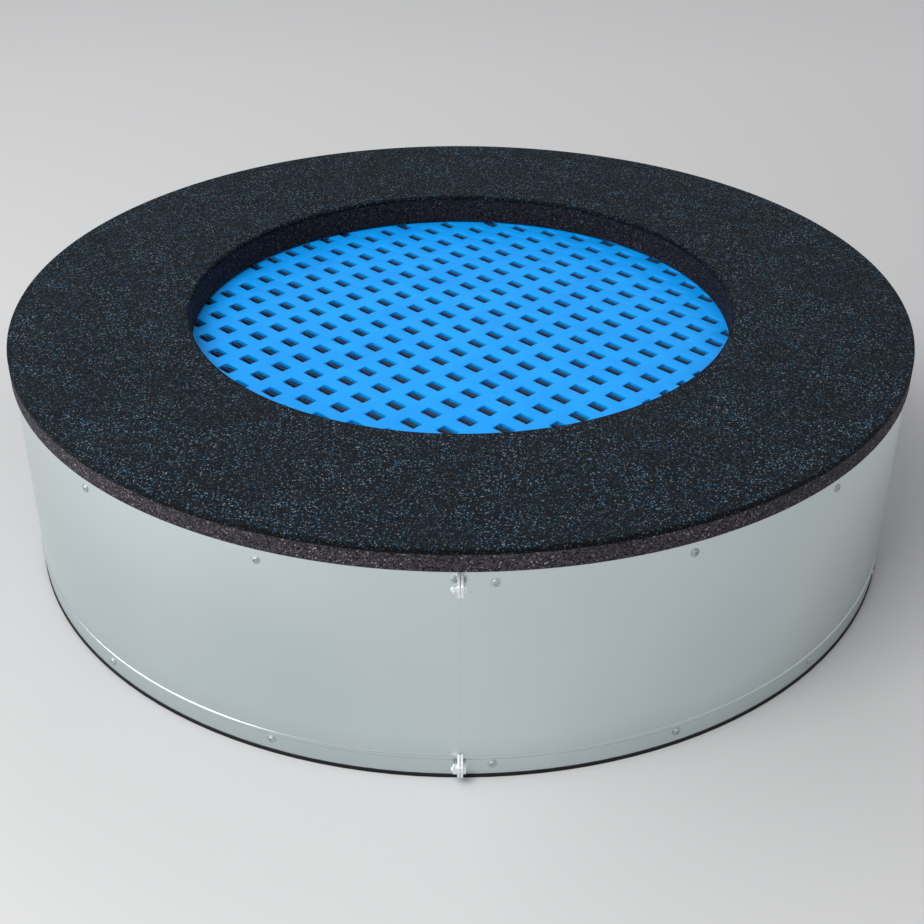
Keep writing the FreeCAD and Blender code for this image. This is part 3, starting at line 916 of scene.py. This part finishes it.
def tube(bm, points, radius, sides):
    """A tube along a list of points, closed at both ends."""
    rows = []
    count = len(points)
    normal = None
    for index, point in enumerate(points):
        before = points[max(index - 1, 0)]
        after = points[min(index + 1, count - 1)]
        ahead = (after - before).normalized()
        if normal is None:
            normal = ahead.orthogonal().normalized()
        normal = (normal - ahead * normal.dot(ahead)).normalized()
        other = ahead.cross(normal)
        row = []
        for side in range(sides):
            angle = 2 * math.pi * side / sides
            spoke = normal * math.cos(angle) + other * math.sin(angle)
            row.append(bm.verts.new(point + spoke * radius))
        rows.append(row)
    skin(bm, rows)


def make_cables():
    """Straight cables across the rows, one through every hole and every web between."""
    along = Vector((math.cos(HOLE_ANGLE), math.sin(HOLE_ANGLE), 0))
    across = Vector((-math.sin(HOLE_ANGLE), math.cos(HOLE_ANGLE), 0))
    spacing = HOLE_PITCH / 2
    start = Vector((*FIRST_HOLE, 0)).dot(along)
    count = int(2 * MAT_RADIUS / spacing)
    bm = bmesh.new()
    for number in range(-count, count + 1):
        offset = start + number * spacing
        edge = abs(offset) + CABLE_RADIUS
        if edge >= MAT_RADIUS - HOLE_BORDER:
            continue
        half = math.sqrt(MAT_RADIUS**2 - edge**2)
        middle = along * offset + Vector((0, 0, MAT_TOP - CABLE_DEPTH))
        ends = [middle - across * half, middle, middle + across * half]
        tube(bm, ends, CABLE_RADIUS, CABLE_SIDES)
    place(bmesh_object("mat_cable_strands", bm, CABLE), MAT_BODY, "steel_cable", "mat_cables")


def hook_shape(reach):
    """An L-shaped hook seen from above, in millimetres from its eye: along the spring, across."""
    return [(0.0, 5.6), (0.0, 1.5), (0.0, -2.6), (0.7, -4.0), (2.5, -4.5), (reach, -4.5)]


def spring_path():
    """A spring's wire along +X: the hook in the rim's eye, the coil, the hook in the anchor."""
    coil_radius = COIL_OUTSIDE - WIRE_RADIUS
    first = COIL_START + WIRE_RADIUS
    length = COIL_END - COIL_START - 2 * WIRE_RADIUS
    points = []
    for along, across in hook_shape(9.0):
        points.append(Vector((HOOK_IN_RIM + along * MM, across * MM, SPRING_LEVEL)))
    for step in range(COIL_TURNS * COIL_STEPS + 1):
        angle = math.pi + 2 * math.pi * step / COIL_STEPS
        along = first + length * step / (COIL_TURNS * COIL_STEPS)
        across = coil_radius * math.cos(angle)
        points.append(Vector((along, across, SPRING_LEVEL + coil_radius * math.sin(angle))))
    for along, across in reversed(hook_shape(10.0)):
        points.append(Vector((HOOK_IN_ANCHOR - along * MM, across * MM, SPRING_LEVEL)))
    return points


def spring_headings():
    """The springs of each bay between two brackets, which stand at every second post."""
    arms = sorted(post_headings())[::2]
    headings = []
    for index, start in enumerate(arms):
        end = arms[(index + 1) % len(arms)]
        if end <= start:
            end += 360.0
        for number in range(SPRINGS_PER_BAY):
            headings.append(start + (number + 0.5) / SPRINGS_PER_BAY * (end - start))
    return headings


def spring_node(heading):
    """The CAD node that holds the spring at a heading, which is the one of the nearest side."""

    def distance(name):
        return abs((heading - SPRING_SIDES[name] + 180.0) % 360.0 - 180.0)

    return min(SPRING_SIDES, key=distance)


def make_springs():
    """Each spring reaches from its anchor at one end to the mat at the other."""
    points = spring_path()
    for number, heading in enumerate(spring_headings()):
        turn = Matrix.Rotation(math.radians(heading), 4, "Z")
        bm = bmesh.new()
        tube(bm, points, WIRE_RADIUS, WIRE_SIDES)
        bm.transform(turn)
        spring = bmesh_object(f"spring_{number + 1:02d}", bm, SPRING)
        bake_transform(spring)
        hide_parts(spring_node(heading))


def dress_frame():
    """CAD pieces whose shape is right get their finish."""
    finishes = {"galvanised_frame": GALVANISED, "foot_rubber": FOOT}
    for entry in frame["record"]["subparts"]:
        material = finishes.get(entry["material_slot"])
        if material is None:
            continue
        mesh = frame["nodes"][entry["node"]].data
        mesh.materials.clear()
        mesh.materials.append(material)


def make_stage():
    """A plain pale floor with painted light and shade: painted shade darkens it to the right and
    close to the housing's sides, and painted light makes it paler further back.
    """
    floor_nodes = Nodes("studio_floor")
    axes = floor_nodes.add("ShaderNodeSeparateXYZ")
    floor_nodes.link(floor_nodes.place, axes.inputs["Vector"])
    # Painted shade: the floor darkens towards the right, away from the key lamp.
    painted_side_shade = floor_nodes.span(axes.outputs["X"], 1.02, 0.95, -1.4, 1.4)
    # Painted light: the floor grows paler further back.
    painted_far_light = floor_nodes.span(axes.outputs["Y"], 1.0, 1.17, 0.3, 2.6)
    tone = floor_nodes.mix(1.0, linear(206, 206, 206), painted_side_shade, "MULTIPLY")
    tone = floor_nodes.mix(1.0, tone, painted_far_light, "MULTIPLY")
    # Painted shade close to the housing's sides, fading out by 1.3 m from the middle.
    reach = floor_nodes.add("ShaderNodeVectorMath", operation="LENGTH")
    floor_nodes.link(floor_nodes.stretched((1, 1, 0)), reach.inputs[0])
    near = floor_nodes.span(reach.outputs["Value"], 0.21, 0.0, 0.72, 1.3)
    from_middle = floor_nodes.math("ABSOLUTE", axes.outputs["X"], 0.0)
    aside = floor_nodes.span(from_middle, 0.3, 1.0, 0.0, 0.6)
    soft_shade = floor_nodes.math("SUBTRACT", 1.0, floor_nodes.math("MULTIPLY", near, aside))
    tone = floor_nodes.mix(1.0, tone, soft_shade, "MULTIPLY")
    floor_nodes.finish(tone, 0.9, Specular_IOR_Level=0.1)
    half = FLOOR_HALF
    floor = mesh_object(
        "floor",
        [(-half, -half, 0), (half, -half, 0), (half, half, 0), (-half, half, 0)],
        [(0, 1, 2, 3)],
        floor_nodes.material,
        smooth=False,
    )
    world = bpy.data.worlds.new("studio")
    bpy.context.scene.world = world
    world.use_nodes = True
    background = world.node_tree.nodes["Background"]
    background.inputs["Color"].default_value = SKY_COLOUR
    background.inputs["Strength"].default_value = SKY_STRENGTH


def soft_lamp(name, spot, target, size, power):
    """A rectangular area lamp that faces a point."""
    data = bpy.data.lights.new(name, "AREA")
    data.shape = "RECTANGLE"
    data.size, data.size_y = size
    data.energy = power
    lamp = bpy.data.objects.new(name, data)
    bpy.context.scene.collection.objects.link(lamp)
    lamp.location = spot
    facing = Vector(target) - Vector(spot)
    lamp.rotation_euler = facing.to_track_quat("-Z", "Y").to_euler()


def make_camera():
    """The camera of the photograph, behind -Y and above, tilted down."""
    data = bpy.data.cameras.new("camera")
    data.sensor_fit = "HORIZONTAL"
    data.sensor_width = SENSOR
    data.lens = FOCAL_PIXELS / FRAME_PIXELS * SENSOR
    camera = bpy.data.objects.new("camera", data)
    bpy.context.scene.collection.objects.link(camera)
    camera.location = (0, -CAMERA_BACK, CAMERA_UP)
    level = Matrix.Rotation(math.pi / 2 - CAMERA_PITCH, 3, "X")
    heading = Matrix.Rotation(CAMERA_YAW, 3, "Z")
    tilt = Matrix.Rotation(-CAMERA_ROLL, 3, "Z")
    camera.rotation_euler = (heading @ level @ tilt).to_euler()
    bpy.context.scene.camera = camera


make_camera()
make_stage()
for lamp_settings in LAMPS:
    soft_lamp(*lamp_settings)
dress_frame()
make_ring()
make_housing()
make_wall_screws()
make_seam_hardware()
make_mat()
make_cables()
make_springs()

bpy.context.scene.view_settings.view_transform = "Standard"
